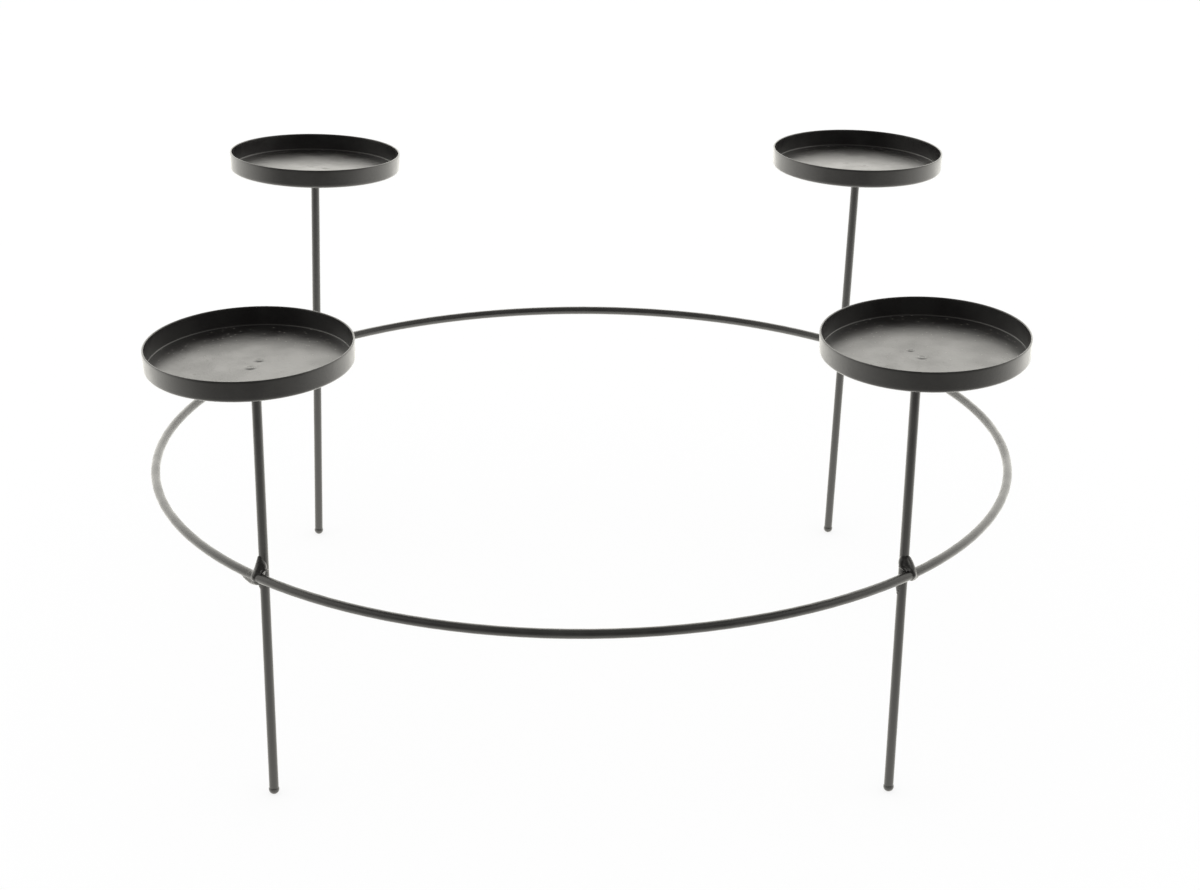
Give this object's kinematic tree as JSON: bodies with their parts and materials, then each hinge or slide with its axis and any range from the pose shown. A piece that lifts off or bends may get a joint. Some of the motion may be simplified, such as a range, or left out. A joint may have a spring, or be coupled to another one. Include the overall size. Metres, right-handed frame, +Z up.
{
  "type": "advent candle holder",
  "caption": "Free-standing wire wreath ring on upright rods, each rod topped with a shallow round candle dish, for an advent wreath.",
  "frame": {"origin": "on the floor, under the centre of the wreath ring, midway between the feet", "axes": "+Z up, -Y towards the picture's front, +X to the right"},
  "size_m": [0.4041, 0.4042, 0.2151],
  "materials": {
    "wire_coat": "satin black powder coat on steel wire",
    "dish_coat": "satin black powder coat on drawn steel sheet",
    "weld_coat": "satin black powder coat over weld beads"
  },
  "bodies": {
    "root": {"wreath_ring": "wire_coat", "leg_front_left": "wire_coat", "leg_front_right": "wire_coat", "leg_back_left": "wire_coat", "leg_back_right": "wire_coat", "ring_weld_front_left": "weld_coat", "ring_weld_front_right": "weld_coat", "ring_weld_back_left": "weld_coat", "ring_weld_back_right": "weld_coat", "candle_dish_front_left": "dish_coat", "candle_dish_front_right": "dish_coat", "candle_dish_back_left": "dish_coat", "candle_dish_back_right": "dish_coat", "dish_weld_front_left": "weld_coat", "dish_weld_front_right": "weld_coat", "dish_weld_back_left": "weld_coat", "dish_weld_back_right": "weld_coat"}
  },
  "joints": []
}
